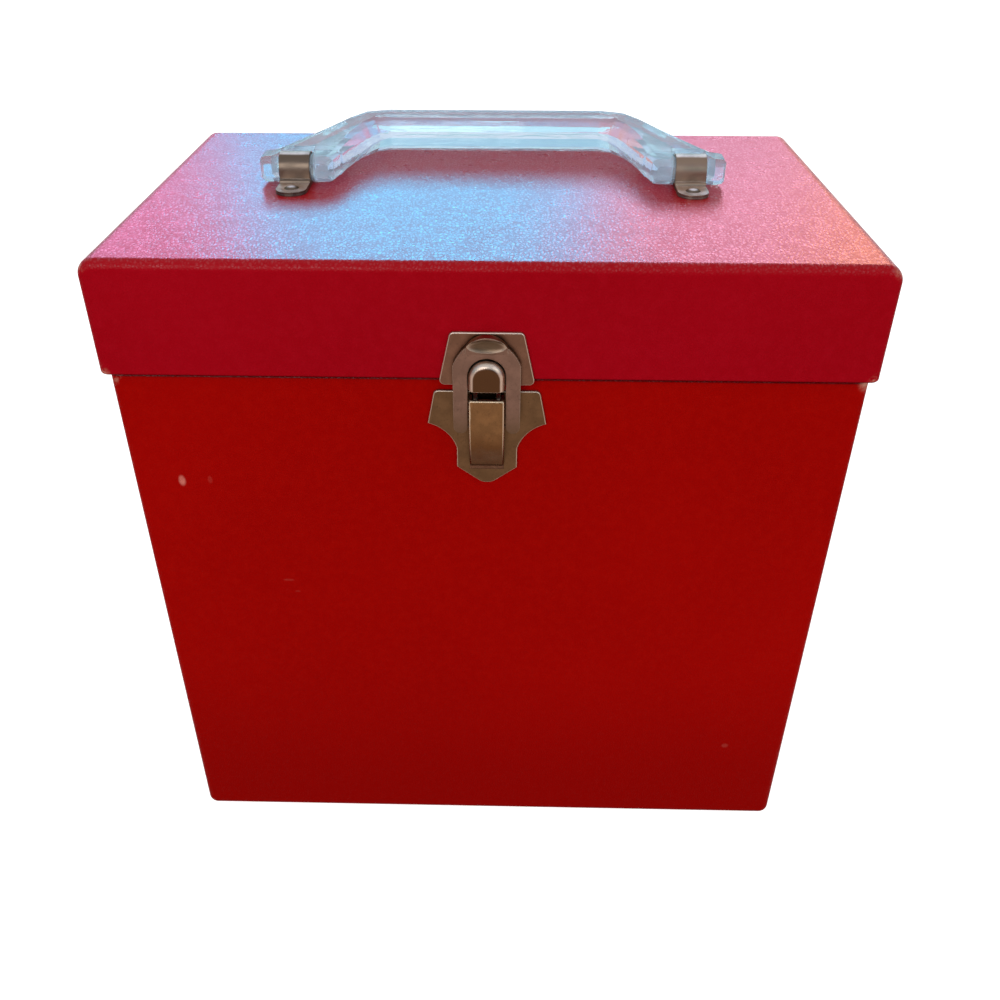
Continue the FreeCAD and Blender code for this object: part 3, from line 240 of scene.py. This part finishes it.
def leather_wear(graph, base, ragged, centre, half):
    """Rubbed edges, corners worn bare and a line of painted shade along the seam."""
    edge, corner = box_edges(graph, centre, half)
    from_seam = graph.math("ABSOLUTE", graph.math("SUBTRACT", graph.level, SEAM))
    patchy = graph.noise(38.0, 2.0)

    ragged_edge = graph.math("ADD", edge, graph.math("MULTIPLY", ragged, RUB_RAGGED))
    rub = graph.ramp(ragged_edge, RUB_END, RUB_FULL)
    rub = graph.math("MULTIPLY", rub, graph.ramp(patchy, 0.42, 0.62, 0.0, 0.55))
    rub = graph.math("MULTIPLY", rub, graph.ramp(from_seam, SEAM_LINE, SEAM_CLEAR))

    ragged_corner = graph.math("ADD", corner, graph.math("MULTIPLY", ragged, BARE_RAGGED))
    bare = graph.ramp(ragged_corner, BARE_END, BARE_FULL)
    bare = graph.math("MULTIPLY", bare, graph.ramp(ragged, 0.42, 0.6))

    # Painted shade in a thin line along the seam
    base = graph.mix(graph.ramp(from_seam, SEAM_LINE, SEAM_CORE, 0.0, 0.85), base, SEAM_SHADE)
    base = graph.mix(rub, base, RUBBED_RED)
    return graph.mix(bare, base, BARE_CORNER)


def leather_scuffs(graph, base, ragged, scuffs):
    """Small pale and ragged marks on the front."""
    for across, up, half_width, half_height, strength in scuffs:
        place = (across, -HALF_DEPTH, up)
        size = (half_width, SCUFF_DEPTH, half_height)
        round_mark = spot(graph, place, size, SCUFF_RIM_SHARE)
        mark = graph.math("MULTIPLY", round_mark, graph.ramp(ragged, 0.3, 0.55, 0.4, strength))
        base = graph.mix(graph.math("MULTIPLY", mark, strength), base, SCUFF_PINK)
    return base


def leatherette(name, centre, half, blue, scuffs=()):
    """Red embossed leatherette over a box, glossiest on top and on the crests of its grain."""
    graph = Graph(bpy.data.materials.new(name))
    ragged = graph.noise(330.0, 4.0, 0.7)
    base = leather_red(graph, blue)
    base = leather_wear(graph, base, ragged, centre, half)
    base = leather_scuffs(graph, base, ragged, scuffs)

    drawn = graph.vector("MULTIPLY", graph.position, GRAIN_DRAW)
    pebble = graph.ramp(graph.cells(PEBBLES, drawn), 0.03, 0.4)
    fine = graph.noise(FINE_LUMPS, 0.0, 0.5, vector=drawn)
    grain = graph.math("ADD", pebble, graph.math("MULTIPLY", fine, 0.8))

    upward = graph.parts(graph.facing)[2]
    polish = graph.ramp(upward, 0.05, 0.85, SIDE_POLISH, TOP_POLISH)
    crests = graph.ramp(grain, 0.3, 1.35, VALLEY_SHARE, CREST_SHARE)
    roughness = graph.ramp(graph.noise(160.0, 3.0), 0.3, 0.7, 0.27, 0.31)
    shader = graph.add("ShaderNodeBsdfPrincipled", Base_Color=base, Roughness=roughness, IOR=LEATHER_IOR,
                       Specular_IOR_Level=graph.math("MULTIPLY", polish, crests),
                       Normal=graph.bump(grain, GRAIN_DEPTH))
    return graph.finish(shader)


# Metal

METAL_TINT = colour(1.0, 0.8, 0.6)
# Width of the rim along a metal edge that takes the second tone, and reach of the dirt and painted shade
# in a corner
RIM_WIDTH = 0.0003
CREVICE_REACH = 0.003
# Brush marks and specks to a metre, and their depths in metres
BRUSH_MARKS = 5200.0
BRUSH_DEPTH = 0.000012
SPECKS = 1900.0
SPECK_DEPTH = 0.00002


def aged_metal(name, flat_tone, curve_and_rim_tone, roughness, flat_axis=1, low=None, raised=None, hollow=None,
               sky=None):
    """Old nickel plate: one tone on its flat faces, and a second on faces turned away from them and on
    edge rims.

    The flat faces are those square to flat_axis, 0, 1 or 2 for x, y or z. On the plates, lever, loop,
    hinges and washers the flat tone is tarnish and the second is partly rubbed wear, partly a painted
    highlight; on the clips the pale flat tone of the up-facing feet is a painted reflection and the
    second is the strap's own dark tarnish.
    Some pieces have further tones: low, between two levels, for the faces further down; raised, between
    two depths, for what stands out to the front; hollow, with a centre and a size, a painted shade in a
    scoop; sky, a painted highlight on what faces up. Dirt and painted shade darken the crevices.
    """
    graph = Graph(bpy.data.materials.new(name))
    turns = graph.parts(graph.facing)
    flat = graph.math("ABSOLUTE", turns[flat_axis])
    cloud = graph.noise(260.0, 4.0, 0.6)
    speck = graph.noise(SPECKS, 3.0, 0.65)

    rim = graph.add("ShaderNodeBevel", Radius=RIM_WIDTH).outputs["Normal"]
    true_normal = graph.add("ShaderNodeNewGeometry").outputs["Normal"]
    rim_turn = graph.vector("DOT_PRODUCT", rim, true_normal)
    # Faces turned away from the flat axis and edge rims take the second tone: rubbed wear and a painted
    # highlight, except on the clips, whose second tone is the strap's tarnish
    curved = graph.ramp(graph.math("ADD", flat, graph.math("MULTIPLY", cloud, 0.06)), 1.0, 0.9)
    curves_and_rims = graph.math("MAXIMUM", curved, graph.ramp(rim_turn, 0.985, 0.90))

    face = graph.mix(graph.ramp(cloud, 0.35, 0.7), colour(*flat_tone), shade(flat_tone, 1.35))
    face = graph.mix(graph.ramp(speck, 0.58, 0.72, 0.0, 0.5), face, shade(flat_tone, 0.35))
    # Painted highlight and wear on curves and rims; on the clips the flat tone is a painted reflection on
    # the up-facing feet
    base = graph.mix(curves_and_rims, face, colour(*curve_and_rim_tone))
    if low is not None:
        (bottom, top), tone = low
        base = graph.mix(graph.ramp(graph.level, bottom, top, 0.93, 0.0), base, colour(*tone))
    if raised is not None:
        (back, front), tone = raised
        depth = graph.parts(graph.position)[1]
        off_curves_and_rims = graph.math("SUBTRACT", 1.0, curves_and_rims)
        share = graph.math("MULTIPLY", graph.ramp(depth, back, front), off_curves_and_rims)
        base = graph.mix(share, base, colour(*tone))
    # A painted shade in the scoop
    if hollow is not None:
        centre, size, tone = hollow
        base = graph.mix(graph.math("MULTIPLY", spot(graph, centre, size), 0.7), base, colour(*tone))
    # A painted highlight on faces turned up
    if sky is not None:
        base = graph.mix(graph.ramp(turns[2], 0.2, 0.75, 0.0, 0.6), base, colour(*sky))
    # Dirt and painted shade in corners and crevices
    crevice_dirt_and_shade = graph.add("ShaderNodeAmbientOcclusion", Distance=CREVICE_REACH).outputs["AO"]
    base = graph.mix(graph.ramp(crevice_dirt_and_shade, 0.25, 0.8, 0.75, 0.0), base, shade(flat_tone, 0.2))

    upright = graph.vector("MULTIPLY", graph.position, (1.0, 1.0, 0.08))
    brushed = graph.noise(BRUSH_MARKS, 2.0, 0.5, vector=upright)
    normal = graph.bump(brushed, BRUSH_DEPTH, below=rim)
    normal = graph.bump(speck, SPECK_DEPTH, below=normal)
    shader = graph.add("ShaderNodeBsdfPrincipled", Base_Color=base, Metallic=1.0, Normal=normal,
                       Roughness=graph.ramp(cloud, 0.3, 0.7, roughness, roughness + 0.14),
                       Specular_Tint=METAL_TINT)
    return graph.finish(shader)


# Acrylic

ACRYLIC_IOR = 1.49
# Cyan tints of the acrylic and its haze: painted cool light
ACRYLIC_COOL_LIGHT_TINT = colour(0.87, 0.97, 1.0)
HAZE_COOL_LIGHT_TINT = colour(0.62, 0.85, 1.0)
HAZE_SHARE = 0.14
# What the acrylic lets through to its shadow
SHADOW_TINT = colour(0.88, 0.55, 0.55)
# Depths in metres of the moulding's waves, the streaks along the bar and the fine marks
WAVE_DEPTH = 0.00025
STREAK_DEPTH = 0.00009
MARK_DEPTH = 0.00001


def clear_plastic(name):
    """Polished acrylic with the faint waves of a moulding and a little haze, its cyan tints a painted
    cool light.
    """
    graph = Graph(bpy.data.materials.new(name))
    along = graph.vector("MULTIPLY", graph.position, (0.06, 1.0, 1.0))
    normal = graph.bump(graph.noise(70.0, 2.0), WAVE_DEPTH)
    normal = graph.bump(graph.noise(650.0, 2.0, 0.6, vector=along), STREAK_DEPTH, below=normal)
    normal = graph.bump(graph.noise(900.0, 3.0, 0.7), MARK_DEPTH, below=normal)
    scratched = graph.ramp(graph.noise(500.0, 4.0, 0.7), 0.4, 0.8, 0.05, 0.14)
    clear = graph.add("ShaderNodeBsdfPrincipled", Base_Color=ACRYLIC_COOL_LIGHT_TINT, Roughness=scratched,
                      Normal=normal, IOR=ACRYLIC_IOR, Transmission_Weight=1.0)
    haze = graph.add("ShaderNodeBsdfDiffuse", Color=HAZE_COOL_LIGHT_TINT)
    passing = graph.add("ShaderNodeBsdfTransparent", Color=SHADOW_TINT)
    path = graph.add("ShaderNodeLightPath")
    hazy = graph.blend(HAZE_SHARE, clear, haze)
    return graph.finish(graph.blend(path.outputs["Is Shadow Ray"], hazy, passing))


# Paper and board

FIBRE_DEPTH = 0.00003
FLECK_DEPTH = 0.00008
DARK_FLECK = colour(0.24, 0.19, 0.13)
LIGHT_FLECK = colour(0.4, 0.33, 0.24)
LAYER_TONE = colour(0.3, 0.25, 0.19)


def paper(name, base):
    """Lining paper: matt, with fibres and faint foxing."""
    graph = Graph(bpy.data.materials.new(name))
    red, green, blue = base
    foxed = colour(red * 0.8, green * 0.62, blue * 0.4)
    fibre = graph.noise(1400.0, 5.0, 0.75, distortion=1.2)
    foxing = graph.noise(30.0, 4.0, 0.65)
    tone = graph.mix(graph.ramp(fibre, 0.35, 0.65), shade(base, 0.9), colour(*base))
    tone = graph.mix(graph.ramp(foxing, 0.6, 0.75, 0.0, 0.3), tone, foxed)
    shader = graph.add("ShaderNodeBsdfPrincipled", Base_Color=tone, Normal=graph.bump(fibre, FIBRE_DEPTH),
                       Roughness=graph.ramp(fibre, 0.3, 0.7, 0.78, 0.92))
    return graph.finish(shader)


def chipboard(name):
    """Grey-brown board: coarse flecks and layers, matt."""
    graph = Graph(bpy.data.materials.new(name))
    layered = graph.vector("MULTIPLY", graph.position, (1.0, 1.0, 6.0))
    fleck = graph.noise(700.0, 5.0, 0.8, distortion=0.6)
    layer = graph.noise(160.0, 2.0, vector=layered)
    tone = graph.mix(graph.ramp(fleck, 0.35, 0.68), DARK_FLECK, LIGHT_FLECK)
    tone = graph.mix(graph.ramp(layer, 0.4, 0.7, 0.0, 0.35), tone, LAYER_TONE)
    shader = graph.add("ShaderNodeBsdfPrincipled", Base_Color=tone, Normal=graph.bump(fleck, FLECK_DEPTH),
                       Roughness=graph.ramp(fleck, 0.3, 0.7, 0.8, 0.95))
    return graph.finish(shader)


# Materials of the pieces

body_middle = (0, 0, SEAM / 2)
body_half = (HALF_WIDTH, HALF_DEPTH, SEAM / 2)
lid_middle = (0, 0, (SEAM + LID_TOP) / 2)
lid_half = (LID_HALF_WIDTH, LID_HALF_DEPTH, (LID_TOP - SEAM) / 2)
# The sheet under the body isn't rubbed at the body's edges, so its box reaches further down
sheet_half = (HALF_WIDTH, HALF_DEPTH, SEAM)
# The blue in the red, of which the lid has a little more
BODY_BLUE = 0.0006
LID_BLUE = 0.0046
LEATHER_BODY = leatherette("leatherette_body", body_middle, body_half, BODY_BLUE, SCUFFS)
LEATHER_LID = leatherette("leatherette_lid", lid_middle, lid_half, LID_BLUE)
LEATHER_BASE = leatherette("leatherette_base", body_middle, sheet_half, BODY_BLUE)

# Depths and levels in metres between which the latch's tones change, from the frame
hood_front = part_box("strike_plate")[0][1]
hood_depths = (hood_front + 0.0032, hood_front + 0.0022)
lever_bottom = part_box("latch_lever")[0][2]
lever_levels = (lever_bottom + 0.002, lever_bottom + 0.0155)
loop_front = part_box("latch_loop")[0][1]
loop_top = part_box("latch_loop")[1][2]
loop_levels = (loop_top - 0.0315, loop_top - 0.0185)
scoop_centre = (0, loop_front - 0.0001, loop_top - 0.0029)
scoop_size = (0.0054, 0.004, 0.0023)

# The strike and latch plates take a painted highlight on what faces up
STRIKE = aged_metal("strike_plate_metal", (0.100, 0.044, 0.026), (0.36, 0.24, 0.18), 0.3,
                    raised=(hood_depths, (0.060, 0.024, 0.010)), sky=(0.68, 0.57, 0.47))
PLATE = aged_metal("latch_plate_metal", (0.080, 0.038, 0.017), (0.34, 0.23, 0.165), 0.3,
                   sky=(0.50, 0.42, 0.34))
LEVER = aged_metal("latch_lever_metal", (0.118, 0.052, 0.02), (0.42, 0.30, 0.20), 0.24,
                   low=(lever_levels, (0.036, 0.006, 0.001)))
# The loop's scoop takes a painted shade
LOOP = aged_metal("latch_loop_metal", (0.114, 0.058, 0.040), (0.27, 0.18, 0.13), 0.28,
                  low=(loop_levels, (0.080, 0.042, 0.021)),
                  hollow=(scoop_centre, scoop_size, (0.050, 0.032, 0.015)))
# The clips have their dark tone on the strap and the pale one on the foot, a painted reflection where it
# faces up; the right one is paler, painted light
CLIP = aged_metal("clip_metal", (0.66, 0.60, 0.58), (0.125, 0.088, 0.065), 0.3, flat_axis=2)
# A lit copy of the clip metal, its paler tones painted light
RIGHT_CLIP_PAINTED_LIGHTER = aged_metal("right_clip_painted_lighter_metal", (0.78, 0.70, 0.68), (0.24, 0.160, 0.115), 0.3, flat_axis=2)
HINGE = aged_metal("hinge_metal", (0.15, 0.105, 0.08), (0.32, 0.25, 0.2), 0.32)
WASHER = aged_metal("washer_metal", (0.34, 0.31, 0.27), (0.6, 0.56, 0.5), 0.38)
CLEAR = clear_plastic("clear_acrylic")
LINING = paper("lining_paper", (0.58, 0.51, 0.4))
COLLAR = paper("collar_paper", (0.54, 0.47, 0.36))
BOARD = chipboard("chipboard")

LOOKS = {
    "body_cover": LEATHER_BODY,
    "lid_cover": LEATHER_LID,
    "base_sheet": LEATHER_BASE,
    "strike_plate": STRIKE,
    "strike_rivets": STRIKE,
    "latch_base_plate": PLATE,
    "latch_base_rivets": PLATE,
    "latch_lever": LEVER,
    "lever_pin": LEVER,
    "latch_loop": LOOP,
    "handle": CLEAR,
    "handle_rivets": CLIP,
    "left_handle_clip": CLIP,
    "right_handle_clip": RIGHT_CLIP_PAINTED_LIGHTER,
    "body_lining": LINING,
    "lid_lining": LINING,
}
LOOKS_BY_ENDING = {"_board": BOARD, "_strip": COLLAR, "_washers": WASHER}


def look_of(name):
    """A node's material: by its name, by the kind of piece it is, or else the hinges' metal."""
    if name in LOOKS:
        return LOOKS[name]
    for ending, look in LOOKS_BY_ENDING.items():
        if name.endswith(ending):
            return look
    return HINGE


for name, node in nodes.items():
    node.data.materials.clear()
    node.data.materials.append(look_of(name))


# Floor and backdrop

AMBIENT = 0.68
FLOOR_GLOW = 0.80
FLOOR_REACH = 30.0
FLOOR_THROUGH_ACRYLIC = colour(0.48, 0.80, 0.92)
# What gloss and glass see of the backdrop: upward part of the direction, colour
GLASS_BAND = [
    (0.0, colour(0.80, 0.86, 0.95)),
    (0.10, colour(0.50, 0.60, 0.88)),
    (0.28, colour(0.30, 0.62, 0.80)),
    (0.45, colour(0.62, 0.93, 0.98)),
    (0.65, colour(0.50, 0.58, 0.86)),
    (0.85, colour(0.85, 0.93, 1.0)),
]


def white_world():
    """Soft even light; the camera sees a white backdrop, gloss and glass see one with a cool band."""
    graph = Graph(bpy.data.worlds.new("studio"), "ShaderNodeOutputWorld")
    path = graph.add("ShaderNodeLightPath")
    mirrored = graph.math("MAXIMUM", path.outputs["Is Glossy Ray"], path.outputs["Is Transmission Ray"])
    seen = graph.math("MAXIMUM", mirrored, path.outputs["Is Camera Ray"])
    upward = graph.parts(graph.place.outputs["Generated"])[2]
    band = graph.add("ShaderNodeValToRGB", Fac=upward)
    stops = band.color_ramp.elements
    stops[0].position, stops[0].color = GLASS_BAND[0]
    stops[1].position, stops[1].color = GLASS_BAND[-1]
    for position, tone in GLASS_BAND[1:-1]:
        stops.new(position).color = tone
    tint = graph.mix(mirrored, WHITE, band.outputs["Color"])
    strength = graph.ramp(seen, 0.0, 1.0, AMBIENT, 1.0)
    backdrop = graph.add("ShaderNodeBackground", Color=tint, Strength=strength)
    bpy.context.scene.world = graph.finish(backdrop)


def floor_look():
    """Pale and matt with its shadow, and white to the camera and in what mirrors it."""
    graph = Graph(bpy.data.materials.new("pale_floor"))
    speck = graph.noise(300.0, 3.0)
    path = graph.add("ShaderNodeLightPath")
    through = path.outputs["Is Transmission Ray"]
    tone = graph.mix(graph.ramp(speck, 0.3, 0.7), colour(0.56, 0.56, 0.56), colour(0.58, 0.58, 0.58))
    tone = graph.mix(through, tone, FLOOR_THROUGH_ACRYLIC)
    mirrored = graph.math("SUBTRACT", path.outputs["Is Glossy Ray"], through, clamp=True)
    seen = graph.math("MAXIMUM", path.outputs["Is Camera Ray"], mirrored)
    matt = graph.add("ShaderNodeBsdfDiffuse", Color=tone)
    glow = graph.add("ShaderNodeEmission", Color=WHITE, Strength=graph.math("MULTIPLY", seen, FLOOR_GLOW))
    both = graph.add("ShaderNodeAddShader")
    graph.set(both, 0, matt.outputs[0])
    graph.set(both, 1, glow.outputs[0])
    return graph.finish(both)


def pale_floor():
    """A large square floor under the case."""
    corners = [(x * FLOOR_REACH, y * FLOOR_REACH, 0) for x, y in ((-1, -1), (1, -1), (1, 1), (-1, 1))]
    mesh = bpy.data.meshes.new("floor")
    mesh.from_pydata(corners, [], [(0, 1, 2, 3)])
    mesh.materials.append(floor_look())
    floor = bpy.data.objects.new("floor", mesh)
    bpy.context.scene.collection.objects.link(floor)


white_world()
pale_floor()


# Lamps

CASE_MIDDLE = (0, 0, 0.12)
# Studio lamps: name, place, width, height, watts, whether gloss and glass show it
STUDIO = [
    ("key", (-0.7, -1.9, 1.05), 1.4, 1.2, 21.0, True),
    ("fill", (1.4, -1.0, 1.0), 1.2, 1.2, 8.0, True),
    ("back_fill", (0.5, 1.9, 0.8), 1.4, 1.2, 10.0, False),
]
# Coloured cards behind the case that only the gloss of its covers shows
SHEEN_Y = 1.5
SHEEN_Z = 0.86
SHEEN_HEIGHT = 0.5
# Name, left end, right end, watts, tint
SHEENS = [
    ("rose_sheen_left", -1.05, -0.5, 6.4, (1.0, 0.34, 0.70)),
    ("cool_sheen", -0.5, 0.16, 14.8, (0.0, 0.59, 1.0)),
    ("rose_sheen_right", 0.16, 0.58, 5.6, (1.0, 0.43, 0.66)),
    ("warm_sheen_right", 0.58, 1.15, 9.4, (1.0, 0.387, 0.24)),
]


def area_light(name, place, target, width, height, power, tint=(1, 1, 1)):
    """A soft rectangular lamp that the camera doesn't see."""
    data = bpy.data.lights.new(name, "AREA")
    data.shape = "RECTANGLE"
    data.size = width
    data.size_y = height
    data.energy = power
    data.color = tint
    lamp = bpy.data.objects.new(name, data)
    lamp.location = place
    lamp.rotation_mode = "QUATERNION"
    towards = Vector(target) - Vector(place)
    lamp.rotation_quaternion = towards.to_track_quat("-Z", "Y")
    lamp.visible_camera = False
    bpy.context.scene.collection.objects.link(lamp)
    return lamp


def studio_lamps():
    """Soft white light from the left front, the right and behind."""
    for name, place, width, height, power, shown in STUDIO:
        lamp = area_light(name, place, CASE_MIDDLE, width, height, power)
        lamp.visible_glossy = shown
        lamp.visible_transmission = shown


def sheen_cards():
    """A row of coloured cards behind the case, linked to its two covers."""
    covers = bpy.data.collections.new("covers_that_show_sheen")
    for name in ("lid_cover", "body_cover"):
        covers.objects.link(nodes[name])
    for name, left, right, power, tint in SHEENS:
        middle = (left + right) / 2
        place = (middle, SHEEN_Y, SHEEN_Z)
        ahead = (middle, 0, SHEEN_Z)
        card = area_light(name, place, ahead, right - left, SHEEN_HEIGHT, power, tint)
        card.visible_diffuse = False
        card.visible_transmission = False
        card.light_linking.receiver_collection = covers


studio_lamps()
sheen_cards()


# Camera, at the photograph's place: metres, radians, and millimetres for its lens and sensor

CAMERA_PLACE = (0.005538, -0.299604, 0.294121)
PITCH_DOWN = 0.592
YAW = -0.022
ROLL = -0.001
LENS = 35.56
SENSOR_WIDTH = 36.0
SHIFT_X = 0.0118
SHIFT_Y = 0.0019
NEAR_CLIP = 0.01
FAR_CLIP = 100.0


def photo_camera():
    """The camera where the photograph was taken from."""
    data = bpy.data.cameras.new("camera")
    data.sensor_width = SENSOR_WIDTH
    data.lens = LENS
    data.shift_x = SHIFT_X
    data.shift_y = SHIFT_Y
    data.clip_start = NEAR_CLIP
    data.clip_end = FAR_CLIP
    level_reach = math.cos(PITCH_DOWN)
    ahead = Vector((math.sin(YAW) * level_reach, math.cos(YAW) * level_reach, -math.sin(PITCH_DOWN)))
    right = Matrix.Rotation(ROLL, 3, ahead) @ Vector((math.cos(YAW), -math.sin(YAW), 0))
    up = right.cross(ahead)
    axes = Matrix((right, up, -ahead)).transposed().to_4x4()
    camera = bpy.data.objects.new("camera", data)
    camera.matrix_world = Matrix.Translation(CAMERA_PLACE) @ axes
    bpy.context.scene.collection.objects.link(camera)
    bpy.context.scene.camera = camera


photo_camera()
bpy.context.scene.view_settings.view_transform = "Standard"
